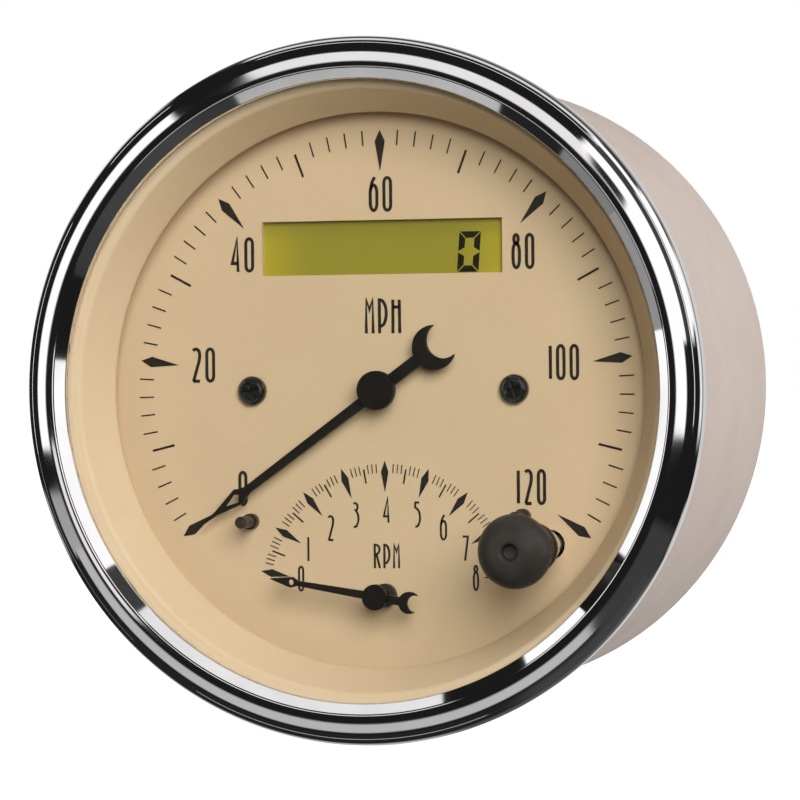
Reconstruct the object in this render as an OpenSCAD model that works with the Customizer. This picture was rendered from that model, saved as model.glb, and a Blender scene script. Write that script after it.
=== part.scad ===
// Panel speedometer with a small tachometer, a trip display and a reset knob.
// Every module is drawn looking at the dial: x right, y up, z towards the driver,
// with z = 0 on the dial's face. seated() turns it so that the dial faces -Y.

/* [Case] */
// Outer radius of the case
case_r = 42.3; // [38:0.1:50]
// Thickness of the drawn steel sheet
case_wall = 0.6; // [0.4:0.1:1.5]
// Distance from the dial's face to the outside of the case back
case_depth = 43.4; // [36:0.1:60]
// Radius of the rear edge
case_edge_r = 2.5; // [1:0.1:5]
// Width of the flange at the case's mouth
flange_w = 2.5; // [1.5:0.1:4]

/* [Bezel and lens] */
// Distance that the bezel's inner edge lies inside the case's outer radius
bezel_cover = 2.0; // [1.4:0.1:4]
// Clearance between the case flange and the inside of the bezel
bezel_play = 0.3; // [0.1:0.05:0.6]
// Width of the bevel at the bezel's inner edge
bevel_w = 1.6; // [1:0.1:2]
// Height of the bezel's inner lip above the lens
lip_h = 0.8; // [0.3:0.05:1.2]
// Thickness of the bezel's sheet
bezel_t = 0.5; // [0.3:0.1:1]
// Height of the bezel's crest above the lens
bezel_crest = 1.8; // [1.4:0.1:3]
// Thickness of the lens
lens_t = 1.4; // [1:0.1:3]
// Height of the lens's rear face above the dial
lens_gap = 9.0; // [8:0.1:14]
// Thickness of the rubber gasket
gasket_t = 0.5; // [0.3:0.1:1.5]

/* [Dial] */
// Thickness of the dial plate
dial_t = 0.8; // [0.4:0.1:1.5]
// Distance that the flare ring runs inwards from the bezel to the dial
flare_run = 3.9; // [2:0.1:5]
// Height of the flare ring's inner edge above the dial
flare_lift = 3.4; // [2:0.1:4.5]
// Distance from the flare ring to the speed scale
scale_margin = 2.2; // [1:0.1:4]
// Degrees from 0 to the last speed mark
scale_sweep = 249; // [180:1:260]
// Degrees between the tachometer's marks
rev_step = 20; // [15:1:22]
// Outer radius of the tachometer's scale
rev_scale_r = 17.7; // [14:0.1:18]
// Place of the tachometer's shaft below the centre
rev_drop = 27; // [26:0.1:28]
// Place of the tachometer's shaft to the right
rev_x = 0.2; // [-1:0.1:1]
// Thickness of the printed marks
ink_t = 0.06; // [0.04:0.01:0.15]
// Distance of each dial screw from the centre
screw_x = 18.1; // [16:0.1:19]
// Radius of a dial screw's head
screw_head_r = 1.97; // [1.6:0.01:2.4]
// Radius of a dial screw's shank
screw_r = 1.0; // [0.8:0.05:1.2]

/* [Display] */
// Width of the display window
window_w = 33.2; // [28:0.1:36]
// Height of the display window
window_h = 7.15; // [6:0.05:9]
// Height of the window's centre above the dial's centre
window_y = 18.8; // [18:0.1:20]
// Thickness of the display glass
glass_t = 1.2; // [0.8:0.1:2]
// Thickness of the display's light box
light_box_t = 2.2; // [1.5:0.1:3]

/* [Pointers] */
// Length of the speed pointer from its shaft to its tip
pointer_l = 30.5; // [24:0.1:32]
// Thickness of both pointers' blades
pointer_t = 0.6; // [0.4:0.1:1]
// Height of the speed blade's rear face
speed_blade_z = 1.6; // [1.2:0.1:2]
// Radius of the speed pointer's cap
speed_cap_r = 2.55; // [2:0.05:3]
// Length of the tachometer pointer
rev_pointer_l = 14.8; // [12:0.1:16]
// Height of the tachometer blade's rear face
rev_blade_z = 3.8; // [3.6:0.1:4.4]
// Radius of the tachometer pointer's cap
rev_cap_r = 1.7; // [1.4:0.05:2.2]
// Degrees that a resting pointer lies below its first mark
rest_dip = 1; // [0:0.5:2]
// Radius of a pointer's shaft
shaft_r = 0.55; // [0.4:0.01:0.7]
// Radial clearance of a shaft in its bearing
bearing_gap = 0.05; // [0.02:0.01:0.1]
// Height of the stop pins
stop_h = 4.4; // [3:0.1:5]
// Distance of the stop pins' circle inside the reset knob's centre
stop_inset = 5.1; // [4.5:0.05:6]
// Angle of the zero stop, anticlockwise from the top
zero_stop = 133.2; // [131:0.1:136]
// Angle of the full-scale stop, clockwise from the top
full_stop = 131; // [129.5:0.1:132]

/* [Movement] */
// Radius of a movement's coil drum
drum_r = 6.5; // [6:0.1:7]
// Height of the coil drum
drum_h = 6.8; // [6:0.1:8]
// Thickness of one layer of winding
coil_t = 1.0; // [0.6:0.1:1.2]
// Width of one band of winding
coil_w = 3.0; // [2:0.1:3.2]
// Outer radius of a movement's shield can
can_r = 10.2; // [10.1:0.1:11]
// Radius of the rotor magnet
rotor_r = 4.6; // [3:0.1:4.7]
// Thickness of the circuit boards
board_t = 1.6; // [1:0.1:2]

/* [Reset knob] */
// Place of the knob to the right
knob_x = 22.7; // [22:0.1:23.5]
// Place of the knob below the centre
knob_drop = 20.25; // [19.5:0.05:20.5]
// Radius of the knob
knob_r = 4.75; // [4:0.05:5.5]
// Height of the knob's rear face above the lens
knob_lift = 5.4; // [3.4:0.1:6]
// Height of the knob
knob_h = 3.6; // [3:0.1:5]
// Radius of the stem inside the lens bushing
stem_r = 2.3; // [1.8:0.05:2.4]
// Radius of the stem's thin end
stem_end_r = 1.1; // [0.8:0.05:1.2]
// Travel of the knob
press = 1.5; // [1:0.1:1.6]
// Thickness of the spring's wire
spring_wire = 0.4; // [0.3:0.05:0.5]
// Turns of the spring
spring_turns = 5; // [3:1:6]

/* [Rear] */
// Distance of a mounting stud inside the case's outer radius
stud_inset = 22.3; // [20.3:0.1:24.3]
// Radius of a mounting stud
stud_r = 2.4; // [2:0.05:3]
// Length of a stud behind the case
stud_l = 15; // [10:0.5:25]
// Number of terminal blades
blades = 8; // [4:1:8]
// Distance between the blades
blade_pitch = 3.96; // [3.5:0.01:4.1]
// Width of a terminal blade
blade_w = 3.2; // [2.4:0.1:4.8]
// Length of a blade behind its block
blade_l = 7; // [5:0.5:10]
// Radius of a lamp socket's body
lamp_r = 5.9; // [5:0.1:6.5]

/* [Hidden] */
$fn = 96;
snug = 0.02;
screw_gap = 0.05;

lens_front = lens_gap + lens_t;
flange_front = lens_gap - gasket_t;
flange_rear = flange_front - case_wall;
seat_z = flange_rear - bezel_t;
flange_r = case_r + flange_w;
skirt_taper = 0.2;
bezel_outer_r = flange_r + bezel_play + bezel_t + skirt_taper;
bezel_inner_r = case_r - bezel_cover;
crimp_r = case_r + 1;
dial_view_r = bezel_inner_r - flare_run;
scale_r = dial_view_r - scale_margin;
case_inner_r = case_r - case_wall;
dial_edge_r = case_inner_r - 1.5;
board_r = case_inner_r - 3.9;
back_z = -case_depth;
back_inner_z = back_z + case_wall;

glass_z = -dial_t - glass_t;
board_front_z = glass_z - light_box_t;
board_rear_z = board_front_z - board_t;

base_t = 1.2;
drum_top_z = board_rear_z - base_t - 2 * coil_t - 0.6;
drum_rear_z = drum_top_z - drum_h;
can_wall = 0.6;
can_rear_z = drum_rear_z - 2 * coil_t - 0.6 - can_wall;
cavity_r = rotor_r + 0.6;
cap_t = 0.8;
cavity_front_z = drum_top_z - 0.8;
cavity_rear_z = drum_rear_z + cap_t;
rotor_play = 0.5;
rev_at = [rev_x, -rev_drop];
speed_cap_h = 1.2;
rev_cap_h = 0.9;
bearing_r = shaft_r + bearing_gap;
hub_r = 1.5;
hub_h = 0.9;

knob_at = [knob_x, -knob_drop];
knob_z = lens_front + knob_lift;
knob_top = knob_z + knob_h;
stem_step_z = 3.6;
stem_top_z = knob_top - 2.2;
bushing_r = stem_r + 0.6;
bushing_front = lens_front + 0.8;
neck_r = stem_r + 0.7;
neck_rear_z = bushing_front + press + 0.2;
switch_rear_z = board_rear_z - 8.6;
switch_wall = 1.6;
switch_bore = 2.4;
clip_t = 0.8;
clip_top_z = board_rear_z - switch_wall - 0.1;
stem_end_z = clip_top_z - clip_t - 1.9;
spring_rear_z = switch_rear_z + 0.8;
spring_front_z = clip_top_z - clip_t;
spring_mean_r = 1.7;
contact_top_z = stem_end_z - press - 0.3;

stop_at = norm(knob_at) - stop_inset;
stop_pin_r = 0.8;
stop_collar_r = 1.05;
stem_hole_r = 1.95;
stem_clearance = 0.5;

pillar_r = 2.6;
pillar_at = board_r - pillar_r - 1.2;
pillar_angles = [60, 180, 300];
pillar_screw_r = 1.2;
case_screw_r = 1.4;
stud_at = case_r - stud_inset;
thread_depth = 0.4;
root_r = stud_r - thread_depth;
washer_t = 0.8;
nut_h = 3.2;
thread_front_z = back_z - washer_t - nut_h - 0.3;
lamp_ring = board_r - lamp_r - 1.9;
lamp_from_stud = [8.7, -8.8];
lamp_at = [lamp_ring * [cos(135), sin(135)], [stud_at, 0] + lamp_from_stud];
lamp_flange_w = 1.6;
lamp_flange_t = 1.8;
lamp_grip_l = 3.6;
bulb_neck_r = 2.4;
lamp_neck_z = back_inner_z + 9;
blade_t = 0.8;
slot_gap = 0.1;
terminal_at = [-6, 17.7 - case_inner_r];
terminal_w = blades * blade_pitch + 3;
terminal_h = 11;
block_rear_z = back_z - 3;
terminal_board_z = back_inner_z + 4;
link_at = terminal_at - [(blades / 2 - 1) * blade_pitch, 0];
header_t = 2.5;
header_h = 3;
header_w = 12;
dial_nut_h = 1.8;

module seated() {
  rotate([90, 0, 0]) translate([0, 0, -seat_z]) children();
}

module at_dial(place, z = 0) {
  translate([place[0], place[1], z]) children();
}

// A disc or tube from height low to height high
module drum(r, low, high, bore = 0) {
  translate([0, 0, low]) difference() {
    cylinder(r = r, h = high - low);
    if (bore > 0) translate([0, 0, -1]) cylinder(r = bore, h = high - low + 2);
  }
}

module slab(w, h, low, high) {
  translate([-w / 2, -h / 2, low]) cube([w, h, high - low]);
}

function arc(cx, cy, rx, ry, a0, a1, n) =
  [for (i = [0 : n]) let (a = a0 + (a1 - a0) * i / n) [cx + rx * cos(a), cy + ry * sin(a)]];

module ring_of(points) {
  rotate_extrude() polygon(points);
}

// Runs its children once at each pillar
module at_pillars() {
  for (a = pillar_angles) translate([pillar_at * cos(a), pillar_at * sin(a), 0]) children();
}

// Case and front

module case_can() {
  corner = case_edge_r;
  color([0.80, 0.74, 0.70]) seated() difference() {
    ring_of(concat(
      [[flange_r, flange_front], [flange_r, flange_rear], [case_r, flange_rear]],
      arc(case_r - corner, back_z + corner, corner, corner, 0, -90, 6),
      [[0, back_z], [0, back_inner_z]],
      arc(case_r - corner, back_z + corner, corner - case_wall, corner - case_wall, -90, 0, 6),
      [[case_inner_r, flange_front]]));
    at_pillars() drum(case_screw_r + 0.1, back_z - 1, back_inner_z + 1);
    for (p = lamp_at) at_dial(p) drum(lamp_r + 0.2, back_z - 1, back_inner_z + 1);
    at_studs() drum(stud_r + 0.2, back_z - 1, back_inner_z + 1);
    at_dial(terminal_at) slab(terminal_w - 2, terminal_h - 2, back_z - 1, back_inner_z + 1);
  }
}

// The sheet's outer line from its crest to the skirt, or with inset, its inner line
function roll(inset) = let (crest_r = bezel_inner_r + bevel_w)
  arc(crest_r, lens_front, bezel_outer_r - crest_r - inset, bezel_crest - inset, 90, 0, 20);

module bezel() {
  edge_r = bezel_outer_r - skirt_taper;
  inner_line = roll(bezel_t);
  fold = 0.6;
  color([0.85, 0.86, 0.88]) seated() ring_of(concat(
    [[bezel_inner_r, lens_front], [bezel_inner_r, lens_front + lip_h]],
    roll(0),
    [[edge_r, seat_z + fold]],
    arc(edge_r - fold, seat_z + fold, fold, fold, 0, -90, 4),
    [[crimp_r, seat_z], [crimp_r, flange_rear], [edge_r - bezel_t, flange_rear]],
    [for (i = [len(inner_line) - 1 : -1 : 0]) inner_line[i]],
    [[bezel_inner_r + 0.8, lens_front]]));
}

module lens() {
  color([0.85, 0.92, 0.95, 0.35]) seated() difference() {
    drum(flange_r - 0.6, lens_gap, lens_front);
    at_dial(knob_at) drum(bushing_r + bearing_gap, lens_gap - 1, lens_front + 1);
  }
}

module lens_gasket() {
  color([0.1, 0.1, 0.1]) seated() drum(flange_r - 0.2, flange_front, lens_gap, case_r);
}

module lens_bushing() {
  color([0.12, 0.11, 0.10]) seated() at_dial(knob_at) difference() {
    union() {
      drum(bushing_r, lens_gap, lens_front);
      drum(bushing_r + 0.55, lens_front, bushing_front);
      drum(bushing_r + 0.4, lens_gap - 0.8, lens_gap);
    }
    drum(stem_r + bearing_gap, lens_gap - 2, bushing_front + 1);
  }
}

// Cone that stands on a foot near the dial's edge, its inner edge hanging over the dial
module flare_ring() {
  outer_r = case_inner_r - 0.3;
  foot_r = dial_view_r + 2.4;
  foot_w = 1.2;
  edge_t = 0.5;
  color([0.88, 0.80, 0.67]) seated() ring_of(concat(
    [[foot_r, 0], [foot_r, flare_lift - edge_t], [dial_view_r, flare_lift - edge_t],
      [dial_view_r, flare_lift]],
    arc(bezel_inner_r - 0.4, lens_gap - 1.3, 0.95, 1.3, 160, 90, 4),
    [[outer_r, lens_gap], [outer_r, lens_gap - 1], [foot_r + foot_w, 0]]));
}

// Dial and its print

module dial_plate() {
  color([0.83, 0.72, 0.57]) seated() difference() {
    drum(dial_edge_r, -dial_t, 0);
    drum(bearing_r + 0.6, -dial_t - 1, 1);
    at_dial(rev_at) drum(bearing_r + 0.6, -dial_t - 1, 1);
    at_dial(knob_at) drum(stem_hole_r, -dial_t - 1, 1);
    at_screws() drum(screw_r + screw_gap, -dial_t - 1, 1);
    at_stops() drum(stop_pin_r + snug, -dial_t - 1, 1);
    translate([0, window_y, 0]) slab(window_w, window_h, -dial_t - 1, 1);
  }
}

// A long diamond whose widest place is near its outer end
module diamond(outer, inner, widest, w) {
  linear_extrude(ink_t) polygon([[0, outer], [w / 2, widest], [0, inner], [-w / 2, widest]]);
}

module tick(outer, inner, w) {
  translate([-w / 2, inner, 0]) cube([w, outer - inner, ink_t]);
}

module dial_marks() {
  step = scale_sweep / 60;
  color([0.07, 0.06, 0.05]) seated() {
    for (i = [0 : 60]) rotate([0, 0, scale_sweep / 2 - i * step]) {
      if (i % 10 == 0) diamond(scale_r, scale_r - 5.4, scale_r - 1.5, 1.4);
      else if (i % 5 == 0) tick(scale_r - 0.8, scale_r - 4.0, 0.3);
      else tick(scale_r, scale_r - 2.0, 0.18);
    }
    at_dial(rev_at) for (i = [0 : 80]) rotate([0, 0, 4 * rev_step - i * rev_step / 10]) {
      if (i % 10 == 0) diamond(rev_scale_r, rev_scale_r - 4.1, rev_scale_r - 1.5, 1.03);
      else if (i % 5 == 0) tick(rev_scale_r - 0.9, rev_scale_r - 2.8, 0.2);
      else if (i % 10 > 1 && i % 10 < 9) tick(rev_scale_r - 0.4, rev_scale_r - 1.6, 0.12);
    }
  }
}

// Pan-head screw with a cross recess, its head's seat at z = 0
module pan_screw(head_r, r, l) {
  head_h = head_r * 0.55;
  difference() {
    union() {
      ring_of(concat([[0, 0], [head_r, 0]], arc(head_r * 0.55, head_h * 0.35, head_r * 0.45,
        head_h * 0.65, 0, 90, 6), [[0, head_h]]));
      drum(r, -l, 0);
    }
    for (a = [0, 90]) rotate([0, 0, a + 20])
      slab(head_r * 1.1, head_r * 0.26, head_h * 0.45, head_h + 1);
  }
}

// Runs its children at the two dial screws
module at_screws() {
  for (s = [-1, 1]) translate([s * screw_x, 0, 0]) children();
}

module hex_nut(r, bore, h) {
  difference() {
    cylinder(r = r, h = h, $fn = 6);
    translate([0, 0, -1]) cylinder(r = bore, h = h + 2);
  }
}

module dial_screws() {
  color([0.08, 0.08, 0.08]) seated() at_screws()
    pan_screw(screw_head_r, screw_r, dial_nut_h + 0.6 - board_rear_z);
}

module dial_spacers() {
  color([0.80, 0.68, 0.35]) seated() at_screws()
    drum(screw_r + 1.2, board_front_z, -dial_t, screw_r + screw_gap);
}

module dial_nuts() {
  color([0.7, 0.7, 0.72]) seated() at_screws() translate([0, 0, board_rear_z - dial_nut_h])
    hex_nut(screw_r + 1.3, screw_r + screw_gap, dial_nut_h);
}

module at_stops() {
  for (a = [zero_stop, -full_stop]) rotate([0, 0, a]) translate([0, stop_at, 0]) children();
}

module stop_pins() {
  color([0.22, 0.19, 0.16]) seated() at_stops() {
    drum(stop_pin_r, -dial_t, stop_h);
    drum(stop_collar_r, 0, 1.0, stop_pin_r - 0.1);
  }
}

// Raised collar round the tachometer's shaft on the dial
module shaft_collar() {
  color([0.10, 0.09, 0.08]) seated() at_dial(rev_at) drum(1.55, 0, 1.0, bearing_r + 0.2);
}

// Trip display

lcd_w = window_w + 4;
lcd_h = window_h + 5.2;
strip_h = 1.5;

module lcd_glass() {
  color([0.60, 0.57, 0.22]) seated() translate([0, window_y, 0])
    slab(lcd_w, lcd_h, glass_z, -dial_t);
}

module lcd_light_box() {
  color([0.92, 0.92, 0.88]) seated() translate([0, window_y, 0])
    slab(lcd_w, lcd_h - 2 * strip_h - 0.6, board_front_z, glass_z);
}

module lcd_contact_strips() {
  color([0.85, 0.45, 0.55]) seated() for (s = [-1, 1])
    translate([0, window_y + s * (lcd_h - strip_h) / 2, 0])
      slab(lcd_w - 1, strip_h, board_front_z, glass_z);
}

// Boards and frame

module main_board() {
  color([0.12, 0.38, 0.20]) seated() difference() {
    drum(board_r, board_rear_z, board_front_z);
    for (p = [[0, 0], rev_at]) at_dial(p)
      drum(shaft_r + 1.45, board_rear_z - 1, board_front_z + 1);
    at_dial(knob_at) drum(stem_end_r + stem_clearance, board_rear_z - 1, board_front_z + 1);
    at_screws() drum(screw_r + screw_gap, board_rear_z - 1, board_front_z + 1);
    at_pillars() drum(pillar_screw_r + 0.1, board_rear_z - 1, board_front_z + 1);
    for (p = lamp_at) at_dial(p) drum(lamp_r, board_rear_z - 1, board_front_z + 1);
  }
}

module board_components() {
  chip_z = board_rear_z;
  color([0.10, 0.10, 0.11]) seated() {
    translate([0, 22, 0]) slab(12, 9, chip_z - 1.8, chip_z);
    translate([12, 17, 0]) slab(5, 4, chip_z - 1.5, chip_z);
    translate([-24, 6.5, 0]) slab(6, 5, chip_z - 1.5, chip_z);
    for (p = [[21, 7], [26, 2], [-26, -8]]) at_dial(p) drum(2.5, chip_z - 6, chip_z);
  }
}

module board_pillars() {
  color([0.72, 0.72, 0.74]) seated() at_pillars() difference() {
    translate([0, 0, back_inner_z])
      cylinder(r = pillar_r, h = board_rear_z - back_inner_z, $fn = 6);
    drum(pillar_screw_r + screw_gap, board_rear_z - 9, board_rear_z + 1);
    drum(case_screw_r + screw_gap, back_inner_z - 1, back_inner_z + 9);
  }
}

module board_screws() {
  color([0.75, 0.75, 0.77]) seated() at_pillars() translate([0, 0, board_front_z])
    pan_screw(pillar_screw_r + 1, pillar_screw_r, board_t + 7);
}

module case_screws() {
  color([0.75, 0.75, 0.77]) seated() at_pillars() translate([0, 0, back_z]) rotate([180, 0, 0])
    pan_screw(case_screw_r + 1.3, case_screw_r, case_wall + 7);
}

// Air-core movement, built round a shaft at the origin

module bobbin() {
  post_at = 5.9;
  difference() {
    union() {
      intersection() {
        slab(15.2, 15.2, board_rear_z - base_t, board_rear_z);
        drum(can_r - can_wall - 0.2, board_rear_z - base_t, board_rear_z);
      }
      drum(1.1, drum_top_z - 0.5, board_rear_z);
      drum(drum_r, drum_rear_z, drum_top_z);
      for (a = [45 : 90 : 315]) rotate([0, 0, a]) {
        translate([drum_r - 0.5, -0.5, drum_rear_z])
          cube([post_at * sqrt(2) - drum_r + 0.5, 1.0, drum_h]);
        translate([post_at * sqrt(2), 0, 0]) drum(0.8, drum_rear_z, board_rear_z);
      }
    }
    drum(bearing_r, cavity_front_z - 1, board_rear_z + 1);
    drum(cavity_r, drum_rear_z - 1, cavity_front_z);
  }
}

// One coil: two bands wound round the drum, one each side of the shaft
module coil(layer) {
  inner_z = layer * coil_t;
  for (s = [-1, 1]) translate([0, s * (1.2 + coil_w / 2), 0]) difference() {
    slab(2 * (drum_r + 0.1 + coil_t), coil_w,
      drum_rear_z - inner_z - coil_t, drum_top_z + inner_z + coil_t);
    slab(2 * (drum_r + 0.1), coil_w + 1, drum_rear_z - inner_z, drum_top_z + inner_z);
  }
}

module coils() {
  coil(0);
  rotate([0, 0, 90]) coil(1);
}

module bearing_cap() {
  drum(cavity_r - snug, drum_rear_z, cavity_rear_z, bearing_r);
}

module shield_can() {
  difference() {
    drum(can_r, can_rear_z, board_rear_z);
    drum(can_r - can_wall, can_rear_z + can_wall, board_rear_z + 1);
  }
}

module shaft(top) {
  drum(shaft_r, drum_rear_z + 0.1, top);
}

module rotor() {
  drum(rotor_r, cavity_rear_z + rotor_play, cavity_front_z - rotor_play, shaft_r + snug);
}

module speed_bobbin() { color([0.85, 0.83, 0.75]) seated() bobbin(); }
module speed_coils() { color([0.72, 0.40, 0.20]) seated() coils(); }
module speed_bearing_cap() { color([0.80, 0.68, 0.35]) seated() bearing_cap(); }
module speed_can() { color([0.66, 0.67, 0.69]) seated() shield_can(); }
module speed_shaft() { color([0.6, 0.6, 0.62]) seated() shaft(speed_blade_z + pointer_t + 0.6); }
module speed_rotor() { color([0.3, 0.3, 0.32]) seated() rotor(); }

module tach_bobbin() { color([0.85, 0.83, 0.75]) seated() at_dial(rev_at) bobbin(); }
module tach_coils() { color([0.72, 0.40, 0.20]) seated() at_dial(rev_at) coils(); }
module tach_bearing_cap() { color([0.80, 0.68, 0.35]) seated() at_dial(rev_at) bearing_cap(); }
module tach_can() { color([0.66, 0.67, 0.69]) seated() at_dial(rev_at) shield_can(); }
module tach_shaft() {
  color([0.6, 0.6, 0.62]) seated() at_dial(rev_at) shaft(rev_blade_z + pointer_t + 0.4);
}
module tach_rotor() { color([0.3, 0.3, 0.32]) seated() at_dial(rev_at) rotor(); }

// Pointers, drawn pointing up, then turned to their resting places

speed_rest = scale_sweep / 2 + rest_dip;
rev_rest = 4 * rev_step + rest_dip;

// Crescent tail like a spanner's jaw: neck, then a disc with a round bite
module tail_2d(neck_w, neck_l, disc_at, disc_r, bite_at, bite_r) {
  difference() {
    union() {
      translate([-neck_w / 2, -neck_l]) square([neck_w, neck_l]);
      translate([0, -disc_at]) circle(r = disc_r);
    }
    translate([0, -bite_at]) circle(r = bite_r);
  }
}

module speed_pointer() {
  eye = pointer_l - 6.5;
  color([0.07, 0.07, 0.07]) seated() rotate([0, 0, speed_rest]) difference() {
    union() {
      translate([0, 0, speed_blade_z]) linear_extrude(pointer_t) union() {
        polygon([[0.7, 0], [0.52, eye - 1.6], [0.7, eye - 0.8], [1.12, eye],
          [0.26, eye + 3.9], [0.1, pointer_l], [-0.1, pointer_l], [-0.26, eye + 3.9],
          [-1.12, eye], [-0.7, eye - 0.8], [-0.52, eye - 1.6], [-0.7, 0]]);
        tail_2d(1.6, 7.4, 9.5, 2.95, 11.1, 2.35);
        circle(r = 2.2);
      }
      drum(hub_r, speed_blade_z - hub_h, speed_blade_z);
    }
    drum(shaft_r + snug, -1, speed_blade_z + 2);
    translate([0, 0, speed_blade_z - 0.1]) linear_extrude(pointer_t + 0.2)
      polygon([[0, eye - 0.4], [0.62, eye + 0.5], [0, eye + 2.4], [-0.62, eye + 0.5]]);
  }
}

module speed_pointer_cap() {
  low = speed_blade_z + pointer_t;
  color([0.06, 0.06, 0.06]) seated() difference() {
    ring_of(concat([[0, low], [speed_cap_r, low]],
      arc(speed_cap_r - 0.25, low + speed_cap_h - 0.25, 0.25, 0.25, 0, 90, 4),
      [[0, low + speed_cap_h]]));
    drum(shaft_r + snug, low - 1, low + 0.62);
  }
}

module tach_pointer() {
  eye = rev_pointer_l - 3.0;
  color([0.07, 0.07, 0.07]) seated() at_dial(rev_at) rotate([0, 0, rev_rest]) difference() {
    union() {
      translate([0, 0, rev_blade_z]) linear_extrude(pointer_t) union() {
        polygon([[0.55, 0], [0.33, eye - 0.8], [0.70, eye], [0.62, eye + 0.5],
          [0.05, rev_pointer_l], [-0.05, rev_pointer_l], [-0.62, eye + 0.5],
          [-0.70, eye], [-0.33, eye - 0.8], [-0.55, 0]]);
        tail_2d(1.1, 3.5, 4.55, 1.45, 5.35, 1.1);
        circle(r = 1.4);
      }
      drum(1.2, rev_blade_z - 0.6, rev_blade_z);
    }
    drum(shaft_r + snug, -1, rev_blade_z + 2);
    translate([0, eye + 0.1, rev_blade_z - 0.1]) drum(0.40, 0, pointer_t + 0.2);
  }
}

module tach_pointer_cap() {
  low = rev_blade_z + pointer_t;
  color([0.06, 0.06, 0.06]) seated() at_dial(rev_at) difference() {
    ring_of(concat([[0, low], [rev_cap_r, low]],
      arc(rev_cap_r - 0.2, low + rev_cap_h - 0.2, 0.2, 0.2, 0, 90, 4),
      [[0, low + rev_cap_h]]));
    drum(shaft_r + snug, low - 1, low + 0.42);
  }
}

// Trip reset knob and its switch

module trip_knob() {
  dome_h = 2.6;
  brow = knob_top - dome_h;
  color([0.13, 0.12, 0.12]) seated() at_dial(knob_at) difference() {
    ring_of(concat([[0, neck_rear_z], [neck_r, neck_rear_z], [neck_r, knob_z],
        [knob_r - 0.35, knob_z], [knob_r, knob_z + 0.5]],
      arc(1.2, brow, knob_r - 1.2, dome_h, 0, 90, 12),
      [[1.05, knob_top - 0.25], [1.0, knob_top - 1.2], [0, knob_top - 1.3]]));
    drum(stem_r + snug, neck_rear_z - 1, stem_top_z);
  }
}

module trip_stem() {
  color([0.80, 0.72, 0.62]) seated() at_dial(knob_at) {
    drum(stem_r, stem_step_z, stem_top_z);
    drum(stem_end_r, stem_end_z, stem_step_z);
  }
}

module stem_clip() {
  color([0.6, 0.6, 0.62]) seated() at_dial(knob_at)
    drum(2.0, clip_top_z - clip_t, clip_top_z, stem_end_r + snug);
}

module trip_switch() {
  color([0.10, 0.10, 0.10]) seated() at_dial(knob_at) difference() {
    slab(7.6, 7.6, switch_rear_z, board_rear_z);
    drum(switch_bore, switch_rear_z + 0.8, board_rear_z - switch_wall);
    drum(stem_end_r + bearing_gap, switch_rear_z + 1, board_rear_z + 1);
  }
}

module switch_contact() {
  color([0.80, 0.68, 0.35]) seated() at_dial(knob_at)
    drum(0.8, switch_rear_z + 0.8, contact_top_z);
}

// Closed tube of six sides that follows a list of points
module wire_along(path, r) {
  n = len(path);
  sides = 6;
  function along(i) = path[min(i + 1, n - 1)] - path[max(i - 1, 0)];
  rings = [for (i = [0 : n - 1])
    let (t = along(i) / norm(along(i)), u0 = cross(t, [0, 0, 1]), u = u0 / norm(u0), v = cross(t, u))
    for (k = [0 : sides - 1]) path[i] + r * (cos(60 * k) * u + sin(60 * k) * v)];
  faces = concat(
    [for (i = [0 : n - 2], k = [0 : sides - 1]) let (m = (k + 1) % sides)
      each [[i * sides + k, i * sides + m, (i + 1) * sides + m],
        [i * sides + k, (i + 1) * sides + m, (i + 1) * sides + k]]],
    [for (k = [1 : sides - 2]) [0, k + 1, k]],
    [for (k = [1 : sides - 2]) let (b = (n - 1) * sides) [b, b + k, b + k + 1]]);
  polyhedron(points = rings, faces = faces, convexity = 6);
}

module switch_spring() {
  steps = 16;
  low = spring_rear_z + spring_wire / 2 + 0.02;
  high = spring_front_z - spring_wire / 2 - 0.02;
  path = [for (i = [0 : spring_turns * steps]) let (a = 360 * i / steps)
    [spring_mean_r * cos(a), spring_mean_r * sin(a), low + (high - low) * i / (spring_turns * steps)]];
  color([0.6, 0.6, 0.62]) seated() at_dial(knob_at) wire_along(path, spring_wire / 2);
}

// Terminals and rear fittings

module terminal_board() {
  color([0.12, 0.38, 0.20]) seated() at_dial(terminal_at) difference() {
    slab(terminal_w, terminal_h + 2, terminal_board_z, terminal_board_z + board_t);
    at_blades() slab(blade_t + slot_gap, blade_w + slot_gap, terminal_board_z - 1,
      terminal_board_z + board_t + 1);
  }
}

module at_blades() {
  for (i = [0 : blades - 1]) translate([(i - (blades - 1) / 2) * blade_pitch, 0, 0]) children();
}

module terminal_block() {
  color([0.08, 0.08, 0.09]) seated() at_dial(terminal_at) difference() {
    union() {
      slab(terminal_w, terminal_h, block_rear_z, back_z);
      slab(terminal_w - 2.2, terminal_h - 2.2, back_z, terminal_board_z);
    }
    at_blades() slab(blade_t + slot_gap, blade_w + slot_gap, block_rear_z - 1,
      terminal_board_z + 1);
  }
}

module terminal_blades() {
  color([0.80, 0.68, 0.35]) seated() at_dial(terminal_at) at_blades()
    slab(blade_t, blade_w, block_rear_z - blade_l, terminal_board_z + board_t + 1);
}

module link_headers() {
  color([0.10, 0.10, 0.10]) seated() at_dial(link_at) {
    slab(header_t, header_w, terminal_board_z + board_t, terminal_board_z + board_t + header_h);
    slab(header_t, header_w, board_rear_z - header_h, board_rear_z);
  }
}

module link_ribbon() {
  color([0.65, 0.65, 0.68]) seated() at_dial(link_at)
    slab(0.6, header_w - 1, terminal_board_z + board_t + header_h, board_rear_z - header_h);
}

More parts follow.
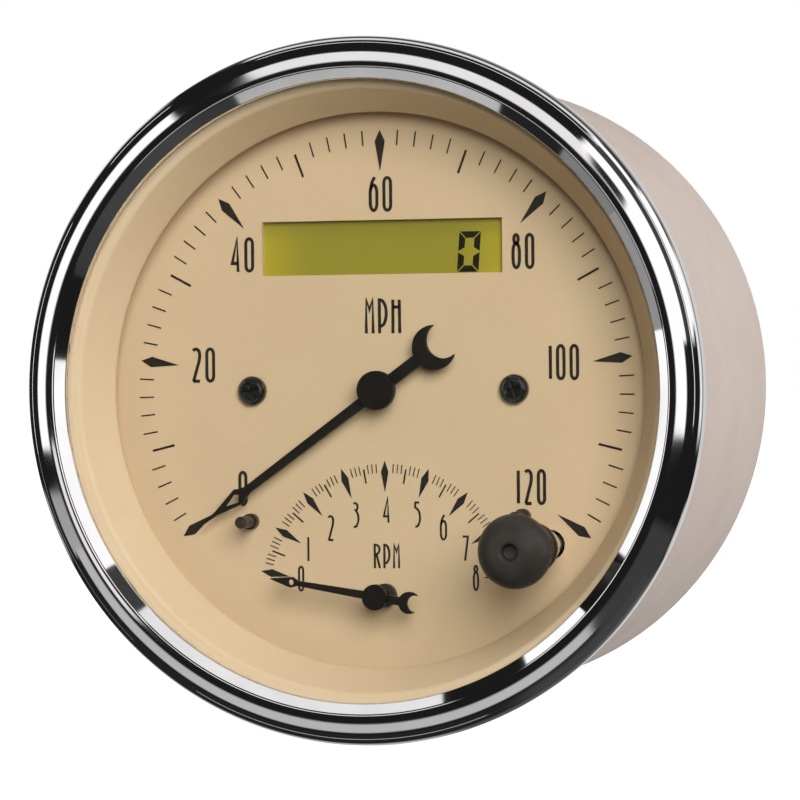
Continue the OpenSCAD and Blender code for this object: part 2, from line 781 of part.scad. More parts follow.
module lamp_sockets() {
  grip_rear_z = back_z - lamp_flange_t - lamp_grip_l;
  color([0.10, 0.10, 0.10]) seated() for (p = lamp_at) at_dial(p) {
    drum(lamp_r, back_z, lamp_neck_z, bulb_neck_r);
    drum(lamp_r + lamp_flange_w, back_z - lamp_flange_t, back_z);
    drum(lamp_r - 0.9, grip_rear_z, back_z - lamp_flange_t);
    slab(2 * lamp_r + 2, 2.0, grip_rear_z, back_z - lamp_flange_t);
  }
}

module lamp_bulbs() {
  neck_r = bulb_neck_r - 0.1;
  bulb_r = 4;
  color([0.9, 0.9, 0.85, 0.5]) seated() for (p = lamp_at) at_dial(p) ring_of(concat(
    [[0, lamp_neck_z - 5], [neck_r, lamp_neck_z - 5], [neck_r, lamp_neck_z]],
    [[bulb_r, lamp_neck_z + 2]],
    arc(0, lamp_neck_z + 8, bulb_r, bulb_r, 0, 90, 8)));
}

// Runs its children at the two mounting studs
module at_studs() {
  for (s = [-1, 1]) translate([s * stud_at, 0, 0]) children();
}

// The free end is drawn at the thread's crests, the end inside the nut and case at its roots
module mounting_studs() {
  color([0.75, 0.76, 0.78]) seated() at_studs() {
    drum(stud_r, back_z - stud_l, thread_front_z);
    drum(root_r, thread_front_z, back_inner_z);
    drum(stud_r + 1.9, back_inner_z, back_inner_z + 1.6);
  }
}

module stud_washers() {
  color([0.70, 0.70, 0.72]) seated() at_studs()
    drum(stud_r + 2.1, back_z - washer_t, back_z, stud_r + 0.15);
}

module stud_nuts() {
  color([0.78, 0.78, 0.80]) seated() at_studs() translate([0, 0, back_z - washer_t - nut_h])
    hex_nut(stud_r + 2.0, root_r + screw_gap, nut_h);
}

case_can();
bezel();
lens();
lens_gasket();
lens_bushing();
flare_ring();
dial_plate();
dial_marks();
dial_screws();
dial_spacers();
dial_nuts();
stop_pins();
shaft_collar();
lcd_glass();
lcd_light_box();
lcd_contact_strips();
main_board();
board_components();
board_pillars();
board_screws();
case_screws();
speed_bobbin();
speed_coils();
speed_bearing_cap();
speed_can();
speed_shaft();
speed_rotor();
speed_pointer();
speed_pointer_cap();
tach_bobbin();
tach_coils();
tach_bearing_cap();
tach_can();
tach_shaft();
tach_rotor();
tach_pointer();
tach_pointer_cap();
trip_knob();
trip_stem();
stem_clip();
trip_switch();
switch_contact();
switch_spring();
terminal_board();
terminal_block();
terminal_blades();
link_headers();
link_ribbon();
lamp_sockets();
lamp_bulbs();
mounting_studs();
stud_washers();
stud_nuts();
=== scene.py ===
import math

import bmesh
import bpy
from mathutils import Matrix, Vector


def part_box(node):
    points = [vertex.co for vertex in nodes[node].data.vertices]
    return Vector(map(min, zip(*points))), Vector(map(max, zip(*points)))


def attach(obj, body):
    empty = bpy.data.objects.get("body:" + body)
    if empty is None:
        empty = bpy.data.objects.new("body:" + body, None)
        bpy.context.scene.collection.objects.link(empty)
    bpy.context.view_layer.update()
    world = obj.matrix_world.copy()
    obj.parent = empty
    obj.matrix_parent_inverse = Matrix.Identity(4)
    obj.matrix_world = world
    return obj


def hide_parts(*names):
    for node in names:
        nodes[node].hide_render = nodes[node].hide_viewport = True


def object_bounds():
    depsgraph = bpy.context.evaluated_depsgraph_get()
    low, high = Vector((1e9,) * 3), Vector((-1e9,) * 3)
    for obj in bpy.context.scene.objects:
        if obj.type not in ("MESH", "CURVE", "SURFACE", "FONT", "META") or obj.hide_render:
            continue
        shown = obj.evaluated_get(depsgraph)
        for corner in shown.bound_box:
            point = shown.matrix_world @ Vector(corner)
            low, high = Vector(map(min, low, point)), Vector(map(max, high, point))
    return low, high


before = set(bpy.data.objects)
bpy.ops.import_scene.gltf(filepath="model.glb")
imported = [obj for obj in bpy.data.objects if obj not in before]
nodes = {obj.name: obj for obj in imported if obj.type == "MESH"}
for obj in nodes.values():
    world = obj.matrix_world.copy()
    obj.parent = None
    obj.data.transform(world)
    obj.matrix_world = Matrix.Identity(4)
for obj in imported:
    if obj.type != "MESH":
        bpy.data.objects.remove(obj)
cad_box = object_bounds()

# Camera. The gauge was photographed from its right and a little above,
# with a long lens, and the camera was tilted by half a degree.
mm = 0.001
dial_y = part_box("dial_plate")[0].y


def at(x, up, front=0.0):
    """A place on the gauge in mm: right, up, and in front of the dial's face."""
    return Vector((x * mm, dial_y - front * mm, up * mm))


def facing(x, up, front):
    """A direction seen from the driver's side: right, up, and towards the driver."""
    return Vector((x, -front, up)).normalized()


turned_right = math.radians(17.802)
raised = math.radians(0.778)
rolled = math.radians(-0.62)
camera_distance = 525.3
look_at = at(2.406, -1.328)

to_camera = facing(math.sin(turned_right) * math.cos(raised), math.sin(raised),
                   math.cos(turned_right) * math.cos(raised))
level_right = (-to_camera).cross(Vector((0, 0, 1))).normalized()
level_up = level_right.cross(-to_camera)
camera_right = math.cos(rolled) * level_right + math.sin(rolled) * level_up
camera_up = math.cos(rolled) * level_up - math.sin(rolled) * level_right

camera = bpy.data.objects.new("camera", bpy.data.cameras.new("camera"))
bpy.context.collection.objects.link(camera)
camera.data.lens = 180
camera.data.sensor_width = 36
turn = Matrix((camera_right, camera_up, to_camera)).transposed().to_4x4()
camera.matrix_world = Matrix.Translation(look_at + to_camera * camera_distance * mm) @ turn
bpy.context.scene.camera = camera
bpy.context.scene.view_settings.view_transform = "Standard"

# Studio. A sheet of pale paper as the floor, a soft lamp high on the right and a weak one
# beside the case, and a white tent with dark flags that only polished surfaces mirror.
world = bpy.data.worlds.new("studio")
bpy.context.scene.world = world
world.use_nodes = True


class Nodes:
    """Short ways to add and join the nodes of one material or world."""

    def __init__(self, tree):
        self.tree = tree
        tree.nodes.clear()

    def add(self, kind, **settings):
        made = self.tree.nodes.new(kind)
        for name, value in settings.items():
            setattr(made, name, value)
        return made

    def join(self, source, target):
        self.tree.links.new(source, target)

    def put(self, socket, value):
        if isinstance(value, bpy.types.NodeSocket):
            self.join(value, socket)
        else:
            socket.default_value = value

    def math(self, operation, *values):
        made = self.add("ShaderNodeMath", operation=operation)
        for socket, value in zip(made.inputs, values):
            self.put(socket, value)
        return made.outputs[0]

    def dot(self, vector, direction):
        made = self.add("ShaderNodeVectorMath", operation="DOT_PRODUCT")
        self.join(vector, made.inputs[0])
        made.inputs[1].default_value = direction
        return made.outputs["Value"]

    def step(self, value, low, high, from_value=0.0, to_value=1.0):
        """Smooth step of value between low and high."""
        made = self.add("ShaderNodeMapRange", interpolation_type="SMOOTHSTEP")
        for socket, number in zip(made.inputs, (value, low, high, from_value, to_value)):
            self.put(socket, number)
        return made.outputs[0]

    def mix(self, factor, first, second):
        """Blend of two colours, each a triple or a socket."""
        made = self.add("ShaderNodeMix", data_type="RGBA")
        self.put(made.inputs[0], factor)
        for socket, colour in ((made.inputs[6], first), (made.inputs[7], second)):
            self.put(socket, (*colour, 1.0) if isinstance(colour, tuple) else colour)
        return made.outputs[2]


# Each card of the tent, told by the face that mirrors it: the face's slope from and to, its
# bearing from and to in degrees anticlockwise from the right, brightness, and soft edge.
# A slope is measured from straight ahead; the tent is black where it has no card.
white = 1.2
tent_cards = [
    (7.5, 18.5, -8, 47, white, 0.8),
    (6.5, 15.8, 45, 110, 0.92, 0.8),
    (17.5, 23.3, 8, 46.5, white, 0.8),
    (8.8, 19.0, 124.5, 189.5, white, 0.9),
    (9.3, 24.5, 197, 208.5, 0.40, 1.2),
    (9.5, 19.3, 207, 315, 0.54, 1.2),
    (3.6, 6.6, 188, 223, 0.95, 0.6),
    (9, 58, 315, 337, 0.05, 2),
    (21, 45, 210, 300, 0.018, 3),
    (22, 60, 297, 333, 0.06, 8),
    (23.5, 33, 8, 46, 0.055, 1.5),
    (34, 43, 8, 46, white, 1.5),
    (42, 54, 10, 34, white, 1.5),
    (51, 68, -8, 23, 0.95, 3),
    (64, 95, -8, 30, 0.30, 5),
    (43, 60, 33, 46, 0.05, 2),
    (39, 47.5, 44, 109, 0.84, 1.5),
    (48, 60, 44, 116, 0.09, 4),
    (62, 95, 28, 108, 0.45, 6),
    (64, 95, 76, 96, 0.85, 6),
    (58, 95, 110, 124, 0.13, 5),
    (46, 95, 125, 149, 0.86, 3.5),
    (49, 95, 148, 168, 0.32, 6),
    (52, 95, 166, 189, 0.09, 5),
    (40, 95, 197, 208, 0.40, 2),
    (52, 95, 225, 286, 0.52, 7),
    (45, 68, 285, 330, 0.10, 8),
    (68, 95, 285, 328, 0.42, 8),
    (67, 95, 333, 341, 0.52, 2),
    (86, 100, -65, 65, 0.66, 2),
]
# The narrow ring of faces that belongs to the bezel's bevel: bearing and brightness
bevel_cards = [(-6, 34, white), (44, 107, 0.95), (124, 138, white), (150, 190, white),
               (190, 212, 0.32), (212, 226, 0.24), (240, 292, 0.56), (292, 338, 0.045)]
bevel_from, bevel_to, bevel_soft = 31.2, 32.4, 0.2
tent_cards += [(bevel_from, bevel_to, start, end, level, bevel_soft)
               for start, end, level in bevel_cards]
dark_flag = (8, 14, 34.5, 44.5, 1.0)
flag_level = 0.012
tent_colour = (1.0, 0.985, 0.975, 1)

w = Nodes(world.node_tree)
ray = w.add("ShaderNodeTexCoord").outputs["Generated"]
between = w.add("ShaderNodeVectorMath", operation="ADD")
w.join(ray, between.inputs[0])
between.inputs[1].default_value = to_camera
face = w.add("ShaderNodeVectorMath", operation="NORMALIZE")
w.join(between.outputs[0], face.inputs[0])
face = face.outputs[0]
slope = w.math("DEGREES", w.math("ARCCOSINE", w.dot(face, (0, -1, 0))))
bearing = w.math("DEGREES", w.math("ARCTAN2", w.dot(face, (0, 0, 1)), w.dot(face, (1, 0, 0))))


def card_shape(low, high, start, end, soft):
    """1 inside a card of the tent and 0 outside it, with soft edges."""
    middle, half = (start + end) / 2, (end - start) / 2
    off = w.math("ABSOLUTE", w.math("WRAP", w.math("SUBTRACT", bearing, middle), 180, -180))
    sector = w.step(off, half - soft, half + soft, 1.0, 0.0)
    begins = w.step(slope, low - soft, low + soft)
    ends = w.step(slope, high - soft, high + soft, 1.0, 0.0)
    return w.math("MULTIPLY", sector, w.math("MULTIPLY", begins, ends))


tent = flag_level
for *place, level, soft in tent_cards:
    card = w.math("MULTIPLY", card_shape(*place, soft), level)
    tent = w.math("MAXIMUM", tent, card)
shade = w.math("SUBTRACT", 1.0, card_shape(*dark_flag))
tent = w.math("MAXIMUM", w.math("MULTIPLY", tent, shade), flag_level)
mirror_light = w.add("ShaderNodeBackground")
mirror_light.inputs["Color"].default_value = tent_colour
w.join(tent, mirror_light.inputs["Strength"])

soft_light = w.add("ShaderNodeBackground")
behind_right = (0.5, 0.7, -0.5)
front_light = (0.10, 0.094, 0.085)
rear_light = (1.0, 0.985, 0.97)
from_behind = w.step(w.dot(ray, behind_right), -0.1, 0.9)
w.join(w.mix(from_behind, front_light, rear_light), soft_light.inputs["Color"])
backdrop = w.add("ShaderNodeBackground")
backdrop.inputs["Color"].default_value = (1, 1, 1, 1)
paths = w.add("ShaderNodeLightPath")
lit = w.add("ShaderNodeMixShader")
w.join(paths.outputs["Is Glossy Ray"], lit.inputs[0])
w.join(soft_light.outputs[0], lit.inputs[1])
w.join(mirror_light.outputs[0], lit.inputs[2])
seen = w.add("ShaderNodeMixShader")
w.join(w.math("MAXIMUM", paths.outputs["Is Camera Ray"], paths.outputs["Is Transmission Ray"]),
       seen.inputs[0])
w.join(lit.outputs[0], seen.inputs[1])
w.join(backdrop.outputs[0], seen.inputs[2])
w.join(seen.outputs[0], w.add("ShaderNodeOutputWorld").inputs["Surface"])


def soft_lamp(name, place, size, watts):
    """A round soft lamp that faces the gauge; polished metal doesn't show it."""
    lamp = bpy.data.objects.new(name, bpy.data.lights.new(name, "AREA"))
    bpy.context.collection.objects.link(lamp)
    lamp.data.shape = "DISK"
    lamp.data.size = size
    lamp.data.energy = watts
    lamp.location = place
    lamp.rotation_mode = "QUATERNION"
    lamp.rotation_quaternion = (at(0, 0) - place).to_track_quat("-Z", "Y")
    lamp.visible_glossy = False


soft_lamp("key_lamp", at(450, 380, 830), 0.75, 13.9)
soft_lamp("side_lamp", at(1000, 0, -90), 0.9, 0.5)

floor_half = 3.0
floor_z = cad_box[0].z
paper_seen = 0.92
floor_mesh = bpy.data.meshes.new("floor")
floor_mesh.from_pydata(
    [(-floor_half, -floor_half, floor_z), (floor_half, -floor_half, floor_z),
     (floor_half, floor_half, floor_z), (-floor_half, floor_half, floor_z)], [], [(0, 1, 2, 3)])
floor = bpy.data.objects.new("floor", floor_mesh)
bpy.context.collection.objects.link(floor)
floor.visible_glossy = False
floor.visible_diffuse = False
paper = bpy.data.materials.new("paper_floor")
paper.use_nodes = True
p = Nodes(paper.node_tree)
sheet = p.add("ShaderNodeBsdfDiffuse")
fibres = p.add("ShaderNodeTexNoise")
fibres.inputs["Scale"].default_value = 40
p.join(p.mix(fibres.outputs["Fac"], (0.70, 0.70, 0.70), (0.73, 0.73, 0.73)), sheet.inputs["Color"])
lift = p.add("ShaderNodeEmission")
p.join(p.add("ShaderNodeLightPath").outputs["Is Camera Ray"], lift.inputs["Strength"])
lift.inputs["Color"].default_value = (paper_seen, paper_seen, paper_seen, 1)
both = p.add("ShaderNodeAddShader")
p.join(sheet.outputs[0], both.inputs[0])
p.join(lift.outputs[0], both.inputs[1])
p.join(both.outputs[0], p.add("ShaderNodeOutputMaterial").inputs["Surface"])
floor_mesh.materials.append(paper)

# Case. One can of drawn steel sheet, with a flange at its mouth for the gasket and lens,
# sprayed with a matt, slightly pink grey paint that shows a fine orange peel.


def finish(name, colour, second, mottle=3.0, rough=(0.4, 0.5), metallic=0.0, grain=0.3,
           grain_depth=0.004, **sockets):
    """A material whose colour, gloss and surface vary a little. Sizes are in mm."""
    made = bpy.data.materials.new(name)
    made.use_nodes = True
    m = Nodes(made.node_tree)
    place = m.add("ShaderNodeTexCoord").outputs["Object"]

    def noise(size, detail):
        texture = m.add("ShaderNodeTexNoise")
        m.join(place, texture.inputs["Vector"])
        texture.inputs["Scale"].default_value = 1 / (size * mm)
        texture.inputs["Detail"].default_value = detail
        return texture.outputs["Fac"]

    shader = m.add("ShaderNodeBsdfPrincipled")
    patches = noise(mottle, 3.0)
    m.join(m.mix(m.step(patches, 0.3, 0.7), colour, second), shader.inputs["Base Color"])
    m.join(m.step(noise(mottle * 0.6, 2.0), 0.3, 0.7, *rough), shader.inputs["Roughness"])
    shader.inputs["Metallic"].default_value = metallic
    for socket, value in sockets.items():
        shader.inputs[socket.replace("_", " ")].default_value = value
    if grain_depth:
        bump = m.add("ShaderNodeBump")
        bump.inputs["Distance"].default_value = grain_depth * mm
        bump.inputs["Strength"].default_value = 1.0
        m.join(noise(grain, 2.0), bump.inputs["Height"])
        m.join(bump.outputs["Normal"], shader.inputs["Normal"])
    m.join(shader.outputs[0], m.add("ShaderNodeOutputMaterial").inputs["Surface"])
    return made


def dress(material, *names):
    """Gives CAD nodes a material."""
    for name in names:
        mesh = nodes[name].data
        mesh.materials.clear()
        mesh.materials.append(material)


case_paint = finish("case_paint", (0.60, 0.50, 0.44), (0.63, 0.53, 0.47), mottle=9,
                    rough=(0.42, 0.52), grain=0.35, grain_depth=0.006)
dress(case_paint, "case_can")

# Rear fittings. Two plated steel studs with washers and nuts for the clamp bracket,
# and three pan-head screws that hold the pillars to the case back.
zinc = finish("zinc_steel", (0.60, 0.60, 0.60), (0.68, 0.67, 0.64), mottle=1.5,
              rough=(0.25, 0.38), metallic=1.0, grain=0.15, grain_depth=0.003)
dress(zinc, "mounting_studs", "stud_washers", "stud_nuts", "case_screws", "board_screws",
      "dial_nuts")

# Terminals. Eight brass blades in a moulded black block that passes through the case back
# and is soldered to a small circuit board inside.
black_plastic = finish("black_plastic", (0.018, 0.018, 0.019), (0.026, 0.025, 0.025), mottle=2,
                       rough=(0.38, 0.5), grain=0.12, grain_depth=0.004)
brass = finish("brass", (0.72, 0.50, 0.20), (0.80, 0.60, 0.30), mottle=1.5, rough=(0.22, 0.34),
               metallic=1.0, grain=0.2, grain_depth=0.002)
board_green = finish("board_green", (0.012, 0.07, 0.028), (0.018, 0.10, 0.04), mottle=1.2,
                     rough=(0.28, 0.4), grain=0.4, grain_depth=0.01, Coat_Weight=0.3)
dress(black_plastic, "terminal_block", "link_headers", "trip_switch")
dress(brass, "terminal_blades", "dial_spacers", "speed_bearing_cap", "tach_bearing_cap",
      "switch_contact")
dress(board_green, "terminal_board", "main_board")

# Lamps. Two twist-in sockets of black nylon carry small glass bulbs
# that light the dial through the gap round its edge.
socket_nylon = finish("socket_nylon", (0.022, 0.021, 0.020), (0.030, 0.029, 0.028), mottle=1.5,
                      rough=(0.5, 0.62), grain=0.1, grain_depth=0.006)
bulb_glass = finish("bulb_glass", (0.88, 0.88, 0.85), (0.92, 0.92, 0.90), rough=(0.02, 0.04),
                    grain_depth=0, Alpha=0.35, IOR=1.5)
dress(socket_nylon, "lamp_sockets")
dress(bulb_glass, "lamp_bulbs")

# Boards and frame. A round circuit board stands on three hexagonal aluminium pillars
# and carries black moulded parts, and a flat ribbon joins it to the terminals.
aluminium = finish("turned_aluminium", (0.72, 0.72, 0.73), (0.78, 0.78, 0.78), mottle=1.5,
                   rough=(0.3, 0.42), metallic=1.0, grain=0.1, grain_depth=0.003)
chip_black = finish("chip_black", (0.02, 0.02, 0.022), (0.03, 0.03, 0.031), mottle=1.0,
                    rough=(0.45, 0.6), grain=0.08, grain_depth=0.006)
ribbon_grey = finish("ribbon_grey", (0.33, 0.34, 0.36), (0.38, 0.39, 0.40), mottle=2,
                     rough=(0.4, 0.5), grain=0.6, grain_depth=0.02)
dress(aluminium, "board_pillars")
dress(chip_black, "board_components")
dress(ribbon_grey, "link_ribbon")

# Movements. Each is a drum of cream plastic with two crossed coils of copper wire
# round a magnet on the pointer's shaft, closed by a drawn steel can.
bobbin_plastic = finish("bobbin_plastic", (0.66, 0.62, 0.50), (0.72, 0.68, 0.56), mottle=2,
                        rough=(0.4, 0.5), grain=0.15, grain_depth=0.003)
copper = finish("copper_wire", (0.55, 0.20, 0.08), (0.66, 0.27, 0.12), mottle=0.8,
                rough=(0.25, 0.36), metallic=1.0, grain=0.12, grain_depth=0.03)
can_steel = finish("can_steel", (0.42, 0.43, 0.44), (0.50, 0.50, 0.50), mottle=3,
                   rough=(0.3, 0.42), metallic=1.0, grain=0.2, grain_depth=0.003)
shaft_steel = finish("shaft_steel", (0.55, 0.55, 0.56), (0.62, 0.62, 0.62), mottle=1,
                     rough=(0.15, 0.25), metallic=1.0, grain=0.08, grain_depth=0.001)
magnet = finish("rotor_magnet", (0.07, 0.07, 0.075), (0.10, 0.10, 0.10), mottle=1,
                rough=(0.45, 0.6), metallic=0.6, grain=0.1, grain_depth=0.006)
for movement in ("speed", "tach"):
    dress(bobbin_plastic, movement + "_bobbin")
    dress(copper, movement + "_coils")
    dress(can_steel, movement + "_can")
    dress(shaft_steel, movement + "_shaft")
    dress(magnet, movement + "_rotor")

# Trip switch. A moulded switch on the board with a coil spring of steel wire, which lifts
# the reset knob's stem; a wire clip pressed on the stem retains it.
dress(shaft_steel, "switch_spring", "stem_clip")

# Trip display. A green liquid-crystal glass on a white light box, with two rubber contact strips.
# Light enters the box at both ends; the glass's yellower ends are painted light, and its darker top
# band is painted shade under the window's edge.
white_plastic = finish("white_plastic", (0.78, 0.78, 0.74), (0.84, 0.84, 0.80), mottle=3,
                       rough=(0.4, 0.5), grain=0.2, grain_depth=0.003)
strip_rubber = finish("contact_rubber", (0.60, 0.20, 0.25), (0.66, 0.24, 0.30), mottle=1,
                      rough=(0.6, 0.7), grain=0.1, grain_depth=0.006)
dress(white_plastic, "lcd_light_box")
dress(strip_rubber, "lcd_contact_strips")

window_middle = 18.8
window_half_w = 16.6
window_half_h = 3.6
# The glass's own green, then the yellow of painted light at its ends and the dark green of painted
# shade at its top
lcd_green = (0.285, 0.250, 0.030)
lcd_painted_light = (0.430, 0.350, 0.030)
lcd_painted_shade = (0.210, 0.185, 0.035)
display = bpy.data.materials.new("display_glass")
display.use_nodes = True
d = Nodes(display.node_tree)
spot = d.add("ShaderNodeSeparateXYZ")
d.join(d.add("ShaderNodeTexCoord").outputs["Object"], spot.inputs[0])
from_middle = d.math("ABSOLUTE", spot.outputs["X"])
# Painted light: the glass turns yellow towards both ends of the window
painted_light_near_end = d.step(from_middle, window_half_w * 0.55 * mm, window_half_w * 1.02 * mm)
# Painted shade: the glass darkens along the top of the window, under the dial's edge
painted_shade_near_top = d.step(spot.outputs["Z"], (window_middle + window_half_h * 0.1) * mm,
                  (window_middle + window_half_h) * mm)
tint = d.mix(d.math("MULTIPLY", painted_light_near_end, 0.8), lcd_green, lcd_painted_light)
haze = d.add("ShaderNodeTexNoise")
haze.inputs["Scale"].default_value = 180
tint = d.mix(d.math("MULTIPLY", painted_shade_near_top, 0.55), tint, lcd_painted_shade)
tint = d.mix(d.math("MULTIPLY", haze.outputs["Fac"], 0.12), tint, lcd_painted_shade)
glass = d.add("ShaderNodeBsdfPrincipled")
d.join(tint, glass.inputs["Base Color"])
glass.inputs["Roughness"].default_value = 0.32
d.join(glass.outputs[0], d.add("ShaderNodeOutputMaterial").inputs["Surface"])
dress(display, "lcd_glass")

# Display figure. Dark bars in the liquid crystal that lean to the right, with mitred ends
# and a thin gap between neighbours. They lie on the display's front, behind the dial.


def piece(name, mesh, material, body, slot, *replaced):
    """Puts a mesh in the scene as one piece that rides on a body."""
    made = bpy.data.objects.new(name, mesh)
    bpy.context.collection.objects.link(made)
    mesh.materials.append(material)
    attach(made, body)
    if replaced:
        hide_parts(*replaced)
    return made


def plates(name, outlines, low, high):
    """A mesh of flat plates, each an outline of (x, up) in mm from height low to high."""
    build = bmesh.new()
    for outline in outlines:
        rear = [build.verts.new(at(x, up, low)) for x, up in outline]
        front = [build.verts.new(at(x, up, high)) for x, up in outline]
        build.faces.new(front)
        build.faces.new(rear[::-1])
        for i in range(len(outline)):
            j = (i + 1) % len(outline)
            build.faces.new((rear[i], rear[j], front[j], front[i]))
    bmesh.ops.recalc_face_normals(build, faces=build.faces)
    mesh = bpy.data.meshes.new(name)
    build.to_mesh(mesh)
    build.free()
    return mesh


lcd_ink = finish("display_segments", (0.010, 0.009, 0.006), (0.015, 0.013, 0.009), mottle=1,
                 rough=(0.35, 0.45), grain=0.2, grain_depth=0, Specular_IOR_Level=0.2)
digit_low, digit_high = 15.36, 20.66
digit_left, digit_right = 10.17, 13.10
digit_lean = 0.41 / 5.3
bar_w = 0.94
segment_gap = 0.10


def lean(x, up):
    return x + (up - digit_low) * digit_lean, up


def digit_segments():
    """Six bars of a figure 0: top, bottom, and two on each side."""
    left, right, low, high = digit_left, digit_right, digit_low, digit_high
    half, b, g = (low + high) / 2, bar_w, segment_gap
    top = [(left + g, high), (right - g, high), (right - b, high - b + g),
           (left + b, high - b + g)]
    bottom = [(x, low + high - up) for x, up in top][::-1]
    upper = [(left, high - g), (left + b - g, high - b), (left + b - g, half + b * 0.6),
             (left, half + g)]
    lower = [(x, low + high - up) for x, up in upper][::-1]
    sides = [upper, lower]
    mirrored_sides = [[(left + right - x, up) for x, up in s][::-1] for s in sides]
    return [[lean(x, up) for x, up in s] for s in [top, bottom] + sides + mirrored_sides]


lcd_front = -0.8
bar_t = 0.02
piece("display_figure", plates("display_figure", digit_segments(), lcd_front, lcd_front + bar_t),
      lcd_ink, "housing", "display_glass")

# Dial. A flat plate of aluminium sheet with a window and holes punched through it,
# sprayed cream with a satin surface and a fine grain, and held by two screws.
dial_paint = finish("dial_paint", (0.620, 0.462, 0.292), (0.638, 0.478, 0.304), mottle=14,
                    rough=(0.42, 0.5), grain=0.25, grain_depth=0.0025)
dress(dial_paint, "dial_plate")

# Printed marks and lettering. Black ink laid on the dial through a screen. The figures are
# tall, narrow and drawn with one even stroke, with a high or low waist where they have one.
ink = finish("black_ink", (0.012, 0.010, 0.008), (0.020, 0.016, 0.012), mottle=1.5,
             rough=(0.38, 0.48), grain=0.1, grain_depth=0.001)
dress(ink, "dial_marks")
ink_height = 0.06


def curve(cx, cy, rx, ry, start, end, steps=12):
    """Points along part of an ellipse, angles in degrees anticlockwise from the right."""
    angles = [math.radians(start + (end - start) * i / steps) for i in range(steps + 1)]
    return [(cx + rx * math.cos(a), cy + ry * math.sin(a)) for a in angles]


def loop(low, high, left=0.0, right=1.0, shoulder=0.16):
    """A closed narrow loop with round ends and nearly straight sides."""
    cx, rx = (left + right) / 2, (right - left) / 2
    top = curve(cx, high - shoulder, rx, shoulder, 0, 180)
    bottom = curve(cx, low + shoulder, rx, shoulder, 180, 360)
    return top + bottom + top[:1]


# Strokes of each character in a box one wide and one high
STROKES = {
    "0": [loop(0, 1)],
    "1": [[(0.5, 0), (0.5, 1)]],
    "2": [curve(0.42, 0.82, 0.58, 0.18, 135, 0) + curve(-1.6, 0.82, 2.6, 0.72, -4, -38)[:9]
          + [(0.05, 0.0)], [(0.0, 0.0), (1.0, 0.0)]],
    "3": [curve(0.35, 0.84, 0.5, 0.16, 125, -50) + [(0.45, 0.71)]
          + curve(0.15, 0.36, 0.85, 0.35, 62, -62) + curve(0.25, 0.08, 0.45, 0.08, -30, -115, 5)],
    "4": [[(0.86, -0.02), (0.74, 1.0), (0.0, 0.24), (1.0, 0.24)]],
    "5": [[(0.85, 1.0), (0.12, 1.0), (0.06, 0.80), (0.42, 0.74)]
          + curve(0.15, 0.38, 0.85, 0.38, 58, -60) + curve(0.25, 0.08, 0.45, 0.08, -30, -115, 5)],
    "6": [loop(0, 0.78, shoulder=0.24), [(0.10, 0.62)] + curve(1.3, 0.62, 1.2, 0.45, 170, 118, 8)],
    "7": [[(0.0, 1.0), (1.0, 1.0), (0.42, 0.0)]],
    "8": [loop(0.0, 0.74, shoulder=0.26), loop(0.74, 1.0, 0.16, 0.84, shoulder=0.12)],
    "M": [[(0.0, 0.0), (0.04, 1.0), (0.50, 0.70), (0.96, 1.0), (1.0, 0.0)]],
    "P": [[(0.0, 0.0), (0.0, 1.0)] + curve(0.1, 0.60, 0.9, 0.40, 90, -60)
          + [(0.30, 0.22), (0.12, 0.20)]],
    "H": [[(0.0, 0.0), (0.04, 1.0)], [(1.0, 0.0), (0.96, 1.0)], [(0.03, 0.78), (0.97, 0.78)]],
    "R": [[(0.0, 0.0), (0.0, 1.0)] + curve(0.2, 0.80, 0.75, 0.20, 90, -90) + [(0.25, 0.60)],
          [(0.35, 0.60), (1.0, 0.0)]],
}


def stroke_outline(points, width):
    """Flat quads of an even stroke along a line of points, mitred at its corners."""
    count = len(points)
    closed = (Vector(points[0]) - Vector(points[-1])).length < 1e-6
    sides = []
    for i, point in enumerate(points):
        before = points[i - 1] if i else (points[-2] if closed else None)
        after = points[i + 1] if i < count - 1 else (points[1] if closed else None)
        here = Vector(point)
        into = (here - Vector(before)).normalized() if before else None
        out = (Vector(after) - here).normalized() if after else None
        along = ((into or out) + (out or into)).normalized()
        square = Vector((-along.y, along.x))
        stretch = max(0.45, along.dot(out or into))
        offset = square * width / 2 / stretch
        sides.append((here + offset, here - offset))
    return [[sides[i][0], sides[i][1], sides[i + 1][1], sides[i + 1][0]]
            for i in range(count - 1)]


def figure(character, x, up, w, h, width):
    """Stroke pieces of one character whose ink fills the box w by h centred on x, up."""
    strokes = []
    for line in STROKES[character]:
        placed = [(x + (u - 0.5) * (w - width), up + (v - 0.5) * (h - width)) for u, v in line]
        strokes += stroke_outline(placed, width)
    return strokes


def lettering(name, text, x, up, w, h, width, gaps):
    """One word or number: gaps is the share of its width left between characters."""
    outlines = []
    widths = [0.35 if c == "1" else 1.0 for c in text]
    unit = w / (sum(widths) + gaps * (len(text) - 1))
    left = x - w / 2
    for c, share in zip(text, widths):
        outlines += figure(c, left + share * unit / 2, up, share * unit, h, width)
        left += (share + gaps) * unit
    return piece(name, plates(name, outlines, 0.0, ink_height), ink, "housing", "black_ink")


